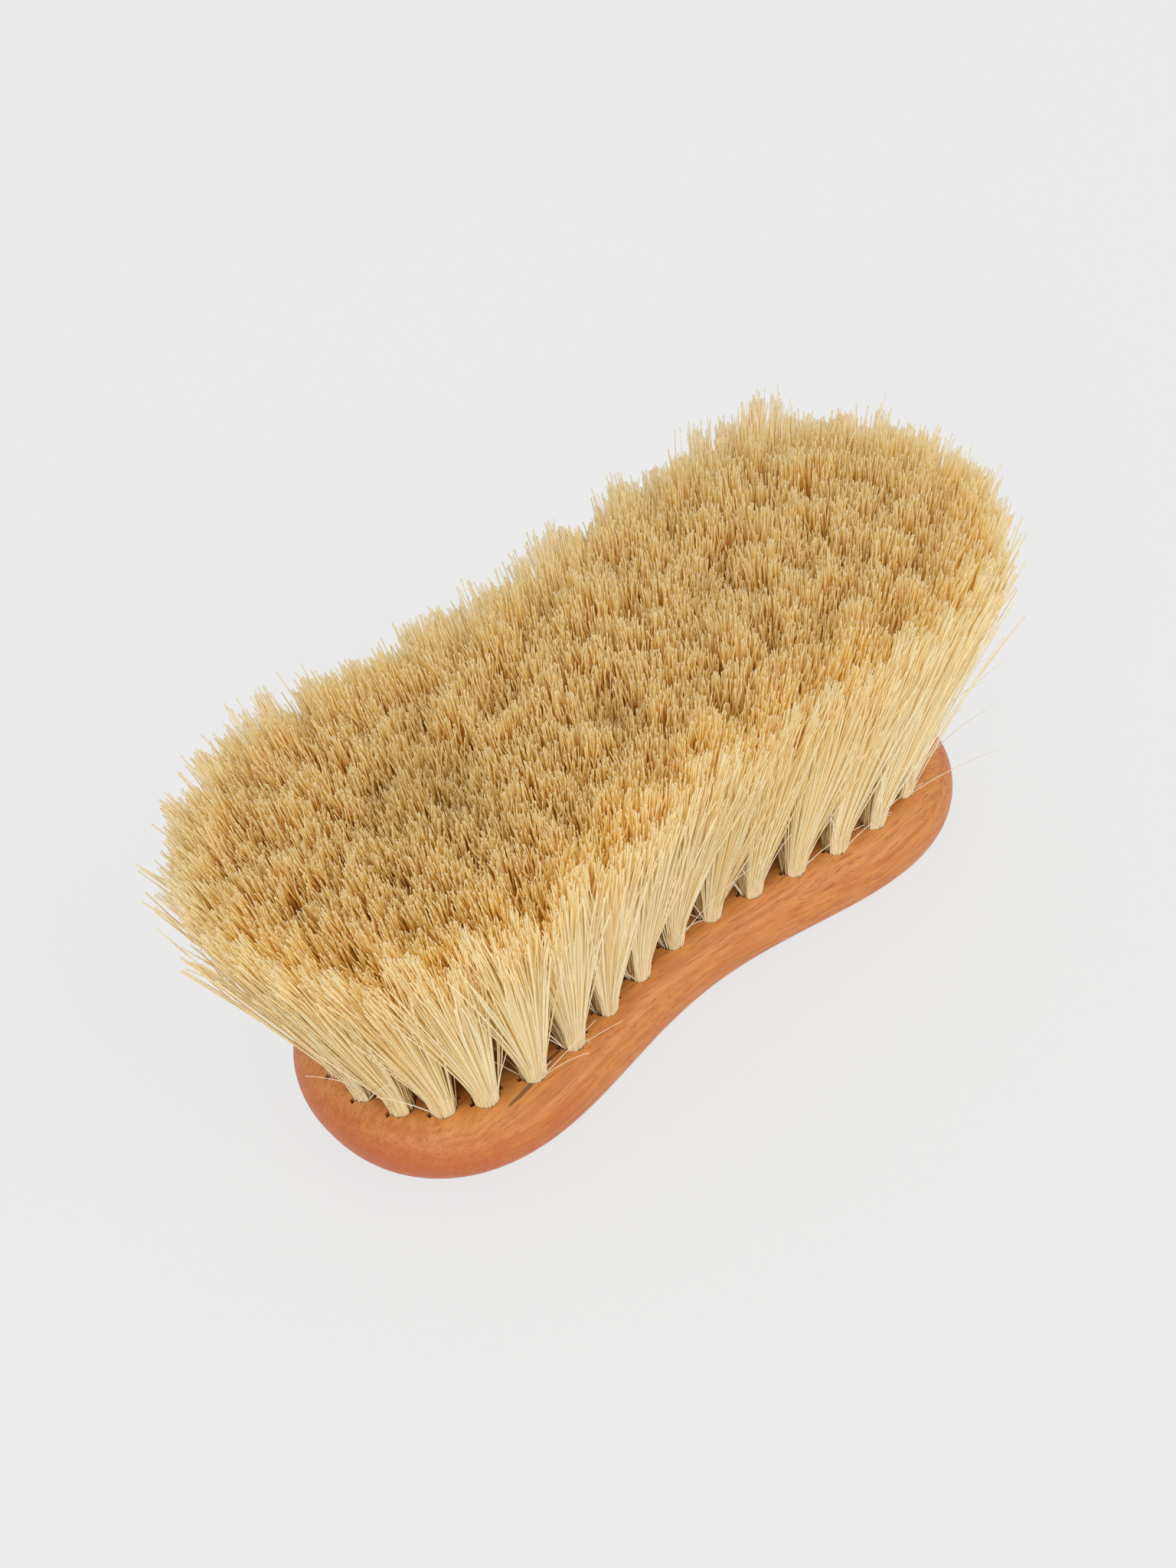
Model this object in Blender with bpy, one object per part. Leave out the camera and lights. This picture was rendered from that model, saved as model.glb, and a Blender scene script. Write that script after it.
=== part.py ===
"""Horse grooming brush: a waisted hardwood block set with fanned plant-fibre tufts.

The brush lies on its back with the bristles up. Metres, +Z up, the block along X, and
the origin under the middle of the block's flat back. Every tuft is a bundle folded over
a flat wire anchor and driven into its own blind hole. The anchor lies nearly along the
block, and its two ends bite into kerfs in the wall of the hole.
"""

import math

import bmesh
import bpy
import numpy as np
from mathutils.geometry import tessellate_polygon

# Block: two lobes and a waist to hold it by
BLOCK_LENGTH = 0.179
LOBE_WIDTH = 0.071
LOBE_SPACING = 0.626 * BLOCK_LENGTH  # between the widest places of the two lobes
WAIST_WIDTH = 0.0575
WAIST_REACH = 0.369 * BLOCK_LENGTH  # the draw-in fades as a bell curve of this width
END_SQUARENESS = 2.2  # exponent of the outline, where 2 is an ellipse
BLOCK_THICKNESS = 0.0188
EDGE_ROUND = 0.009
EDGE_FLAT_SHARE = 0.04  # of the thickness, left straight between the two rounded rims

# Holes: two rings that follow the outline, and one hole in the middle of each lobe
HOLE_DIAMETER = 0.0064
HOLE_DEPTH = 0.012
EDGE_MARGIN = 0.0087  # from the outline to the outer ring of holes
ROW_GAP = 0.0125  # between the two rings
OUTER_PITCH = 0.0642 * BLOCK_LENGTH  # along the side, where the holes line up across the block
INNER_PITCH = 0.0866 * BLOCK_LENGTH
LOBE_HOLE_SPACING = 0.525 * BLOCK_LENGTH  # between the two holes in the middle of the lobes
OUTER_COLUMNS, OUTER_ENDS = 6, 3  # holes in a quarter of the ring, along the side and round the end
INNER_COLUMNS, INNER_ENDS = 4, 1

# Anchors: flat wire, driven nearly along the block, as the tufting machine holds it
ANCHOR_ANGLE = math.radians(-6)
ANCHOR_HEIGHT = 0.002
KERF_WIDTH = 0.0016
KERF_REACH = 0.0008  # past the wall of the hole
CLEARANCE = 0.0003

# Tufts: trimmed level, and spread past the block at the tips
TRIM_HEIGHT = 0.0665  # above the block's face
TRIM_UNEVEN = 0.0025
END_FLARE = 0.0132
SIDE_FLARE = 0.0082
ROOT_RISE = 0.0006  # how far the tight root stands out of the hole
STRAND_GAP = 0.0002
STRAND_TIP_WIDTH = 0.0022

# Facets
OUTLINE_POINTS = 96
EDGE_SEGMENTS = 5
HOLE_FACETS = 5  # on each side, between the kerfs
ROOT_FACETS = 3
SMOOTH_UNDER = math.radians(40)
BEVEL_OVER = math.radians(60)
QUARTER_SAMPLES = 2000
SAMPLE_STEP = 0.0005  # each way along the ring, to find its direction
GAP_LEVELS = 60
DRILL_OVERRUN = 0.002
ROWS_ACROSS_WAIST = 4
GOLDEN_SHARE = 0.618034  # steps through the trim's unevenness without repeating

WOOD = (0.68, 0.25, 0.08)
FIBRE = (0.76, 0.58, 0.30)

# Seven strands to a bundle, one in the middle and six round it, as (along, across) the ring
HEXAGON = np.array([(0, 0)] + [(math.cos(a), math.sin(a)) for a in np.radians(range(30, 390, 60))])
TRIANGLE = np.array([(math.cos(a), math.sin(a)) for a in np.radians((90, 210, 330))])
CIRCUMRADIUS_TO_SIDE = math.sqrt(3)


def material(name, colour, roughness):
    made = bpy.data.materials.new(name)
    made.use_nodes = True
    shader = made.node_tree.nodes["Principled BSDF"]
    shader.inputs["Base Color"].default_value = (*colour, 1)
    shader.inputs["Roughness"].default_value = roughness
    made.diffuse_color = (*colour, 1)
    return made


def add_object(name, bm, finish, location=(0, 0, 0)):
    bmesh.ops.recalc_face_normals(bm, faces=bm.faces)
    mesh = bpy.data.meshes.new(name)
    bm.to_mesh(mesh)
    bm.free()
    mesh.materials.append(finish)
    made = bpy.data.objects.new(name, mesh)
    made.location = location
    bpy.context.scene.collection.objects.link(made)
    return made


def loop(bm, points, z):
    return [bm.verts.new((x, y, z)) for x, y in points]


def wall(bm, lower, upper):
    """A band of quads from one closed loop up to another of as many points."""
    for i in range(len(lower)):
        bm.faces.new((lower[i - 1], lower[i], upper[i], upper[i - 1]))


def contour(angle, grow_end=0.0, grow_side=0.0):
    """Points of the block's outline, grown or shrunk: a superellipse drawn in at the waist.

    Half-width = superellipse of x * (wide - drawn * exp(-(x / reach)^2)), with wide and
    drawn set so that it passes through the waist and through the widest part of the lobe.
    """
    end = BLOCK_LENGTH / 2 + grow_end
    stretch = end / (BLOCK_LENGTH / 2)
    reach = WAIST_REACH * stretch
    lobe_x = LOBE_SPACING / 2 * stretch
    waist = WAIST_WIDTH / 2 + grow_side
    lobe_share = (1 - (lobe_x / end) ** END_SQUARENESS) ** (1 / END_SQUARENESS)
    lobe = (LOBE_WIDTH / 2 + grow_side) / lobe_share
    drawn = (lobe - waist) / (1 - math.exp(-((lobe_x / reach) ** 2)))
    wide = waist + drawn
    cos, sin = np.cos(angle), np.sin(angle)
    x = end * np.sign(cos) * np.abs(cos) ** (2 / END_SQUARENESS)
    y = np.sign(sin) * np.abs(sin) ** (2 / END_SQUARENESS) * (wide - drawn * np.exp(-((x / reach) ** 2)))
    return np.column_stack((x, y))


class QuarterLine:
    """A quarter of a contour, from the tip of its end (0) to its waist, measured by arc length."""

    def __init__(self, grow_end, grow_side):
        self.points = contour(np.linspace(0, math.pi / 2, QUARTER_SAMPLES), grow_end, grow_side)
        steps = np.linalg.norm(np.diff(self.points, axis=0), axis=1)
        self.distance = np.concatenate(([0], np.cumsum(steps)))
        self.length = self.distance[-1]

    def distance_at_x(self, x):
        return np.interp(x, self.points[::-1, 0], self.distance[::-1])

    def place(self, distance):
        """The point there, and the unit vectors along the line and outwards from it, as rows."""
        near, far = (
            np.array([np.interp(d, self.distance, self.points[:, i]) for i in (0, 1)])
            for d in (distance - SAMPLE_STEP, distance + SAMPLE_STEP)
        )
        along = (far - near) / np.linalg.norm(far - near)
        return (near + far) / 2, np.array([along, (along[1], -along[0])])


class Place:
    """Where a tuft's root and tip lie, each with its vectors along and across the ring as rows."""

    def __init__(self, root, root_axes, tip, tip_axes):
        self.root, self.root_axes = root, root_axes
        self.tip, self.tip_axes = tip, tip_axes
        self.fan = None  # the spread at the tip, along and across the ring

    def mirrored(self, sign):
        return Place(self.root * sign, self.root_axes * sign, self.tip * sign, self.tip_axes * sign)

    def distance(self, other):
        return np.linalg.norm(self.tip - other.tip)


def trim_row_gap():
    return (WAIST_WIDTH / 2 + SIDE_FLARE) * 2 / ROWS_ACROSS_WAIST


def tip_radius():
    return STRAND_TIP_WIDTH / CIRCUMRADIUS_TO_SIDE


def in_quarters(places, signs):
    """The places mirrored into each quarter that signs names, in order round the block."""
    made = [place.mirrored(np.array(sign)) for sign in signs for place in places]
    return sorted(made, key=lambda place: math.atan2(-place.root[1], -place.root[0]))


def ring(row, columns, pitch, ends):
    """A ring of tufts: columns across the block along its sides, and even steps round its ends.

    The tips lie on a ring of the trimmed face, at the same share of its quarter as the root.
    """
    inset = EDGE_MARGIN + row * ROW_GAP
    tip_inset = (row + 0.5) * trim_row_gap()
    roots = QuarterLine(-inset, -inset)
    tips = QuarterLine(END_FLARE - tip_inset, SIDE_FLARE - tip_inset)
    sides = [roots.distance_at_x((i + 0.5) * pitch) for i in range(columns)]
    end_pitch = min(sides) / (ends + 0.5)
    stations = [(i + 0.5) * end_pitch for i in range(ends)] + sides
    spread = tips.length / roots.length
    quarter = [Place(*roots.place(s), *tips.place(s * spread)) for s in stations]
    return in_quarters(quarter, [(1, 1), (1, -1), (-1, 1), (-1, -1)])


def lobe_middles():
    """The tuft in the middle of each lobe."""
    root = np.array([LOBE_HOLE_SPACING / 2, 0])
    tip = root * (1 + 2 * END_FLARE / BLOCK_LENGTH)
    return in_quarters([Place(root, np.identity(2), tip, np.identity(2))], [(1, 1), (-1, 1)])


def share_out_tips(outer, inner, middles):
    """Gives every tuft a fan of strands that stays clear of its neighbours'."""
    room = tip_radius() + STRAND_GAP
    across = trim_row_gap() / 2 - room
    for places in (outer, inner):
        for place in places:
            beside = min(place.distance(other) for other in places if other is not place)
            place.fan = np.array([beside / 2 - room, across])
    for place in inner:
        place.fan[:] = min(place.fan)
    for place in middles:
        place.fan = np.full(2, min(place.distance(other) - other.fan[0] for other in inner) - 2 * room)


def keyed_outline(radius, key_width, key_reach, facets):
    """A circle with a square key on two opposite sides, turned to the anchors' angle."""
    half = math.asin(key_width / 2 / radius)
    arc = np.linspace(half, math.pi - half, facets + 1)
    side = radius * np.column_stack((np.cos(arc), np.sin(arc)))
    key = np.array([(-key_reach, key_width / 2), (-key_reach, -key_width / 2)])
    points = np.vstack((side, key, -side, -key))
    cos, sin = math.cos(ANCHOR_ANGLE), math.sin(ANCHOR_ANGLE)
    return points @ np.array([(cos, sin), (-sin, cos)])


def drill(places, finish):
    """Every hole with its two kerfs, as one cutter."""
    bm = bmesh.new()
    outline = keyed_outline(
        HOLE_DIAMETER / 2, KERF_WIDTH, HOLE_DIAMETER / 2 + KERF_REACH, HOLE_FACETS
    )
    for place in places:
        floor = loop(bm, outline + place.root, BLOCK_THICKNESS - HOLE_DEPTH)
        mouth = loop(bm, outline + place.root, BLOCK_THICKNESS + DRILL_OVERRUN)
        wall(bm, floor, mouth)
        bm.faces.new(floor)
        bm.faces.new(mouth)
    cutter = add_object("drill", bm, finish)
    cutter.hide_render = True
    cutter.display_type = "WIRE"
    return cutter


def wood_block(cutter, finish):
    """The outline extruded, with both rims rounded over, and then drilled."""
    bm = bmesh.new()
    outline = contour(np.linspace(0, 2 * math.pi, OUTLINE_POINTS, endpoint=False))
    back = loop(bm, outline, 0)
    face = loop(bm, outline, BLOCK_THICKNESS)
    wall(bm, back, face)
    bm.faces.new(back)
    bm.faces.new(face)
    block = add_object("wood_block", bm, finish)
    rounding = block.modifiers.new("rounded_rims", "BEVEL")
    rounding.limit_method = "ANGLE"
    rounding.angle_limit = BEVEL_OVER
    rounding.width = min(EDGE_ROUND, BLOCK_THICKNESS * (1 - EDGE_FLAT_SHARE) / 2)
    rounding.segments = EDGE_SEGMENTS
    holes = block.modifiers.new("holes", "BOOLEAN")
    holes.operation = "DIFFERENCE"
    holes.solver = "EXACT"
    holes.object = cutter
    block.data.shade_smooth()
    block.data.set_sharp_from_angle(angle=SMOOTH_UNDER)
    return block


def root_radius():
    """The bundle fills its hole, less a clearance to the flats of the hole's facets."""
    half_facet = (math.pi / 2 - math.asin(KERF_WIDTH / HOLE_DIAMETER)) / HOLE_FACETS
    return HOLE_DIAMETER / 2 * math.cos(half_facet) - CLEARANCE


def strand_root_radius():
    """Three strands and the gaps beside them fill half the bundle's width across its flats."""
    flats = root_radius() * math.cos(math.pi / 2 / ROOT_FACETS)
    return (flats - 2 * STRAND_GAP) / 3


def strands(place, number):
    """Root centres, tip centres and tip heights of a bundle's strands, in block coordinates."""
    spacing = 2 * strand_root_radius() + STRAND_GAP
    roots = place.root + spacing * HEXAGON @ place.root_axes
    tips = place.tip + (HEXAGON * place.fan) @ place.tip_axes
    order = np.arange(len(HEXAGON)) + number * len(HEXAGON)
    return roots, tips, TRIM_HEIGHT - TRIM_UNEVEN * (order * GOLDEN_SHARE % 1)


def tuft(name, place, number, finish):
    """Root and anchor in the hole, and on the root's top seven straight strands that fan out."""
    bm = bmesh.new()
    reach = HOLE_DIAMETER / 2 + KERF_REACH - CLEARANCE
    outline = keyed_outline(root_radius(), KERF_WIDTH - 2 * CLEARANCE, reach, ROOT_FACETS)
    bottom = CLEARANCE - HOLE_DEPTH
    foot = loop(bm, outline, bottom)
    shoulder = loop(bm, outline, bottom + ANCHOR_HEIGHT)
    wall(bm, foot, shoulder)
    bm.faces.new(foot)
    side = ROOT_FACETS + 1  # points on each side of the circle
    first_key, second_key = shoulder[side - 1 : side + 3], [*shoulder[-3:], shoulder[0]]
    bm.faces.new(first_key)
    bm.faces.new(second_key)
    on_circle = [*range(side), *range(side + 2, 2 * side + 2)]
    rim = loop(bm, outline[on_circle], ROOT_RISE)
    wall(bm, [shoulder[i] for i in on_circle], rim)

    feet = []
    for start, end, height in zip(*strands(place, number)):
        foot_points = start - place.root + strand_root_radius() * TRIANGLE @ place.root_axes
        tip_points = end - place.root + tip_radius() * TRIANGLE @ place.tip_axes
        strand_foot, strand_tip = loop(bm, foot_points, ROOT_RISE), loop(bm, tip_points, height)
        wall(bm, strand_foot, strand_tip)
        bm.faces.new(strand_tip)
        feet.append(strand_foot)
    corners = [*rim, *(corner for strand_foot in feet for corner in strand_foot)]
    for triangle in tessellate_polygon([[v.co for v in edge] for edge in (rim, *feet)]):
        bm.faces.new([corners[i] for i in triangle])
    return add_object(name, bm, finish, (*place.root, BLOCK_THICKNESS))


def least_gap(bundles):
    """The least free distance between any two strands, on circles round them at many heights."""
    roots, tips, heights = (np.concatenate(part) for part in zip(*bundles))
    free = math.inf
    for z in np.linspace(ROOT_RISE, TRIM_HEIGHT, GAP_LEVELS):
        share = (z - ROOT_RISE) / (heights - ROOT_RISE)
        here = share <= 1
        share = share[here, None]
        centres = roots[here] * (1 - share) + tips[here] * share
        radii = strand_root_radius() * (1 - share) + tip_radius() * share
        between = np.linalg.norm(centres[:, None] - centres[None], axis=2) - radii - radii.T
        np.fill_diagonal(between, math.inf)
        free = min(free, between.min())
    return free


def main():
    for old in list(bpy.data.objects):
        bpy.data.objects.remove(old)
    wood = material("oiled_wood", WOOD, 0.45)
    fibre = material("plant_fibre", FIBRE, 0.7)

    outer = ring(0, OUTER_COLUMNS, OUTER_PITCH, OUTER_ENDS)
    inner = ring(1, INNER_COLUMNS, INNER_PITCH, INNER_ENDS)
    middles = lobe_middles()
    share_out_tips(outer, inner, middles)
    named = [(f"outer_tuft_{i + 1:02d}", place) for i, place in enumerate(outer)]
    named += [(f"inner_tuft_{i + 1:02d}", place) for i, place in enumerate(inner)]
    named += [(f"lobe_tuft_{i + 1}", place) for i, place in enumerate(middles)]

    brush = bpy.data.objects.new("brush", None)
    bpy.context.scene.collection.objects.link(brush)
    cutter = drill([place for _, place in named], wood)
    wood_block(cutter, wood).parent = brush
    cutter.parent = brush
    for number, (name, place) in enumerate(named):
        tuft(name, place, number, fibre).parent = brush
    bundles = [strands(place, number) for number, (_, place) in enumerate(named)]
    print(f"{sum(len(b[0]) for b in bundles)} strands, least gap {1000 * least_gap(bundles):.2f} mm")


main()
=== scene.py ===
"""Looks of the horse grooming brush: oiled wood block, fanned plant fibre, stage and camera.

Metres, +Z up, the block along X on its flat back, and the near side of the block at -Y. The
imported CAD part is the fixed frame. The block and every tuft are replaced by finer surfaces,
worked out with numpy from the places that the CAD nodes give.
"""

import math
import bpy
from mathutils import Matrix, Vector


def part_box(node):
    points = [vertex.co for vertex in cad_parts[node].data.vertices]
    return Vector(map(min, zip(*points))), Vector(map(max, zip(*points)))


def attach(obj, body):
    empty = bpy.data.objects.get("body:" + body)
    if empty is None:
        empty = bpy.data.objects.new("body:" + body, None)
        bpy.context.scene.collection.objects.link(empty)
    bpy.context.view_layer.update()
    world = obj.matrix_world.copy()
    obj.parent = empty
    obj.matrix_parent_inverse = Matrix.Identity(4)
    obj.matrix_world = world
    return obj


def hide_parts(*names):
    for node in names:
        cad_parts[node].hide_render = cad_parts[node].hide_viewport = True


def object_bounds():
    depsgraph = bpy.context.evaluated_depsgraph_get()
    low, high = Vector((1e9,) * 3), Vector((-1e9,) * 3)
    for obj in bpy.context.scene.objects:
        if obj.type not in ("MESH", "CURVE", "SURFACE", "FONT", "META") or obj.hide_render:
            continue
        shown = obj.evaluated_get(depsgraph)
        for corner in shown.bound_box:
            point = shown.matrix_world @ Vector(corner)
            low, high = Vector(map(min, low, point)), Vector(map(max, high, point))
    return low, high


bl_info = {
    "name": "Grooming brush",
    "version": (1, 0, 0),
    "blender": (4, 5, 0),
    "location": "View3D > Sidebar > Grooming brush",
    "description": "Builds the oiled wood block, the fanned fibre and the stage of a horse brush",
    "category": "Add Mesh",
}

import bpy
import numpy as np
from bpy.props import FloatProperty, FloatVectorProperty, IntProperty, PointerProperty
from mathutils import Matrix, Vector

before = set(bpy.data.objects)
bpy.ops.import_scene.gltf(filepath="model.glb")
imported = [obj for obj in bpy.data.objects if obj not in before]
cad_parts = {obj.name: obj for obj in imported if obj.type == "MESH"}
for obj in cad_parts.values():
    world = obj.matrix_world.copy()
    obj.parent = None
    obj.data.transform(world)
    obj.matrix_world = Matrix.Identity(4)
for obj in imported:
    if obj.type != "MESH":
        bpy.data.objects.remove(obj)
CAD_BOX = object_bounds()

OUTER = sorted(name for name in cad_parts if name.startswith("outer_tuft"))
INNER = sorted(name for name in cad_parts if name.startswith(("inner_tuft", "lobe_tuft")))
TUFTS = OUTER + INNER
BLOCK_LOW, BLOCK_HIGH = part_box("wood_block")
FACE = BLOCK_HIGH.z
TRIM = CAD_BOX[1].z
# No fibre ends further out than this, across the brush: 3% of each side and 8.8 mm past the
# box of the CAD part.
ROOM = np.array([CAD_BOX[1].x, CAD_BOX[1].y]) * 1.06 + 0.0088


# Sizes and colours that a user may change


def length(name, description, default):
    return FloatProperty(name=name, description=description, default=default, unit="LENGTH")


def share(name, description, default):
    return FloatProperty(name=name, description=description, default=default, subtype="FACTOR")


def colour(name, description, default):
    return FloatVectorProperty(
        name=name, description=description, default=default, subtype="COLOR", min=0, max=1
    )


class BlockSettings(bpy.types.PropertyGroup):
    """Outline, rims, holes and wood of the block."""

    size: length("Length", "From end to end", BLOCK_HIGH.x - BLOCK_LOW.x)
    lobe_width: length("Lobe width", "Across the widest part of each lobe", 0.071)
    # The spacing and the waist's reach were fitted as shares of the block's 0.179 m.
    lobe_spacing: length("Lobe spacing", "Between the widest parts", 0.626 * 0.179)
    waist_width: length("Waist width", "Across the middle", 0.0575)
    waist_reach: length("Waist reach", "How far the draw-in fades along the block", 0.369 * 0.179)
    squareness: FloatProperty(
        name="Squareness", description="Exponent of the outline, 2 for an ellipse", default=2.2
    )
    edge_round: length("Rounding", "Radius of both rims", 0.009)
    hole_diameter: length("Hole diameter", "Of the drilled holes", 0.0064)
    hole_depth: length("Hole depth", "Of the drilled holes", 0.012)
    kerf_width: length("Kerf width", "Of the cuts that the anchors make", 0.0012)
    kerf_reach: length("Kerf reach", "Of those cuts past the hole's wall", 0.0009)
    light: colour("Light grain", "Oiled wood between the growth rings", (0.64, 0.262, 0.068))
    dark: colour("Dark grain", "Oiled wood in the growth rings", (0.52, 0.17, 0.037))
    pore: colour("Pores", "The short dark lines along the grain", (0.27, 0.075, 0.02))
    # The end grain colour is also laid low on the block's side as painted shade.
    end: colour("End grain", "Wood where the surface cuts across the grain", (0.47, 0.098, 0.026))


class FibreSettings(bpy.types.PropertyGroup):
    """Spacing, thickness, trim and colours of the fibre."""

    spacing: length("Spacing", "Between tips on the trimmed face", 0.0008)
    thickness: length("Thickness", "Of an average fibre", 0.00042)
    end_flare: length("End flare", "Spread of the tips past the block's ends", 0.0145)
    side_flare: length("Side flare", "Spread of the tips past the block's sides", 0.0092)
    waist_fill: length("Waist fill", "Spread of the tips at the waist past that", 0.0022)
    rounder: FloatProperty(
        name="Rounder", description="Of the trimmed outline against the block's", default=0.2
    )
    uneven: length("Unevenness", "Between the highest and lowest clumps", 0.0058)
    skin: length("Skin", "Width of the denser band of fibre along the rim", 0.003)
    mingle: length("Mingling", "How far the fans of neighbours reach into each other", 0.0032)
    clump: length("Clump size", "Across a group of tips that lean together", 0.0024)
    lock: length("Lock size", "Across a group of clumps", 0.0065)
    strays: IntProperty(name="Strays", description="Loose fibres to an outer tuft", default=7)
    shaft: colour("Shaft", "Fibre below the tips", (0.94, 0.845, 0.59))
    # Painted shade: the darker, warmer colour of fibre in the shade behind the wall.
    inner: colour("Inner shaft", "Fibre behind the wall of the brush", (0.94, 0.78, 0.43))
    # Painted shade and glow: ochre and the tips' colour are laid on only inside the rim.
    ochre: colour("Ochre", "Fibre a little below its tip", (0.80, 0.47, 0.11))
    # Painted light: the golden colour of light that enters the fibre along the rim.
    rim_glow: colour("Gold", "Tips along the rim", (0.92, 0.62, 0.16))
    tip: colour("Tips", "Fibre next to the trimmed face", (0.86, 0.62, 0.25))
    cut: colour("Cut ends", "Trimmed ends of the fibre", (0.90, 0.73, 0.45))
    wall_light: colour("Light through the wall", "Share that passes a fibre", (0.95, 0.935, 0.79))
    face_light: colour("Light through the face", "Share that passes a fibre", (0.84, 0.80, 0.54))
    seed: IntProperty(name="Seed", description="Of the random fibres", default=7)


class StageSettings(bpy.types.PropertyGroup):
    """Floor, background and light."""

    background: share("Background", "Brightness of the world behind the brush", 0.831)
    floor: share("Floor", "Brightness of the floor under the lamps", 0.9)
    glow: share("Evened floor", "Brightness that is added to the floor's own", 0.829)
    shadow: share("Shadow", "How much of the floor's own light and shadow shows", 0.14)
    world: FloatProperty(name="World", description="Strength of the light all round", default=0.74)
    left: FloatProperty(name="Left", description="Watts of the soft lamp at the left", default=27)
    right: FloatProperty(
        name="Right", description="Watts of the soft lamp at the right", default=25
    )


# Surfaces


def contour(block, angle, grow_end=0.0, grow_side=0.0, fill=0.0, rounder=0.0):
    """Outline of the block as (points, 2): half-width = superellipse of x times
    (wide - drawn * exp(-(x / reach)^2)), through the waist and the widest part of the lobe.

    grow_end and grow_side carry it outwards at the ends and the sides, fill does so once more
    at the waist, and rounder is taken off the superellipse's exponent.
    """
    squareness = block.squareness - rounder
    end = block.size / 2 + grow_end
    stretch = end / (block.size / 2)
    reach = block.waist_reach * stretch
    lobe_x = block.lobe_spacing / 2 * stretch
    waist = block.waist_width / 2 + grow_side + fill
    lobe_share = (1 - (lobe_x / end) ** squareness) ** (1 / squareness)
    lobe = (block.lobe_width / 2 + grow_side) / lobe_share
    drawn = (lobe - waist) / (1 - math.exp(-((lobe_x / reach) ** 2)))
    cos, sin = np.cos(angle), np.sin(angle)
    x = end * np.sign(cos) * np.abs(cos) ** (2 / squareness)
    y = np.sign(sin) * np.abs(sin) ** (2 / squareness)
    return np.column_stack((x, y * (waist + drawn - drawn * np.exp(-((x / reach) ** 2)))))


def even_loop(points, count):
    """A closed outline taken again at even steps of its arc length."""
    closed = np.vstack((points, points[:1]))
    run = np.concatenate(([0], np.cumsum(np.linalg.norm(np.diff(closed, axis=0), axis=1))))
    at = np.linspace(0, run[-1], count, endpoint=False)
    return np.column_stack([np.interp(at, run, closed[:, i]) for i in (0, 1)])


def outward(points):
    """Unit normals of a closed counter-clockwise outline, from the chord past each point."""
    chord = np.roll(points, -1, axis=0) - np.roll(points, 1, axis=0)
    return np.column_stack((chord[:, 1], -chord[:, 0])) / np.linalg.norm(chord, axis=1)[:, None]


def build_mesh(name, points, faces):
    """A mesh from (n, 3) points and a list of (m, k) index arrays, one for each face size."""
    mesh = bpy.data.meshes.new(name)
    sizes = np.concatenate([np.full(len(f), f.shape[1]) for f in faces])
    mesh.vertices.add(len(points))
    mesh.vertices.foreach_set("co", points.astype(np.float32).ravel())
    mesh.loops.add(int(sizes.sum()))
    corners = np.concatenate([f.ravel() for f in faces]).astype(np.int32)
    mesh.loops.foreach_set("vertex_index", corners)
    mesh.polygons.add(len(sizes))
    starts = np.concatenate(([0], np.cumsum(sizes)[:-1])).astype(np.int32)
    mesh.polygons.foreach_set("loop_start", starts)
    mesh.update(calc_edges=True)
    mesh.validate()
    return mesh


def band_faces(rows, columns):
    """Quads of a grid of rows that close on themselves, pointing outwards where the rows run
    counter-clockwise and rise."""
    here = np.arange((rows - 1) * columns).reshape(rows - 1, columns)
    beside = np.roll(here, -1, axis=1)
    return np.stack((here, beside, beside + columns, here + columns), axis=-1).reshape(-1, 4)


def add_piece(name, mesh, finish, replaced=()):
    """Puts a mesh in the scene as a piece that rides on the brush and stands for CAD nodes."""
    mesh.materials.append(finish)
    piece = bpy.data.objects.new(name, mesh)
    bpy.context.scene.collection.objects.link(piece)
    if replaced:
        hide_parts(*replaced)
    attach(piece, "root")
    return piece


# Places of the tufts, read from the CAD nodes


def node_points(name):
    """Points of a CAD node as (n, 3)."""
    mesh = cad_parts[name].data
    points = np.empty(len(mesh.vertices) * 3, np.float32)
    mesh.vertices.foreach_get("co", points)
    return points.reshape(-1, 3).astype(float)


def tuft_places():
    """Roots and tips of all tufts as (n, 2) arrays: the middle of the lowest points, which are
    the anchor's, and the middle of the strands' ends."""
    foot, cut = 1e-4, 0.003  # how far above the lowest and below the highest point they reach
    roots, tips = [], []
    for name in TUFTS:
        points = node_points(name)
        low = points[points[:, 2] < points[:, 2].min() + foot, :2]
        high = points[points[:, 2] > points[:, 2].max() - cut, :2]
        roots.append((low.min(axis=0) + low.max(axis=0)) / 2)
        tips.append((high.min(axis=0) + high.max(axis=0)) / 2)
    return np.array(roots), np.array(tips)


def drift(points, wavelength, seed, waves=14):
    """Smooth noise of about unit size: a sum of sines in random directions."""
    rng = np.random.default_rng(seed)
    turn = rng.uniform(0, 2 * math.pi, waves)
    rate = 2 * math.pi / (wavelength * rng.uniform(0.7, 1.6, waves))
    phase = points @ (rate * np.array((np.cos(turn), np.sin(turn)))) + rng.uniform(0, 7, waves)
    return np.sin(phase).sum(axis=1) * math.sqrt(2 / waves)


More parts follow.
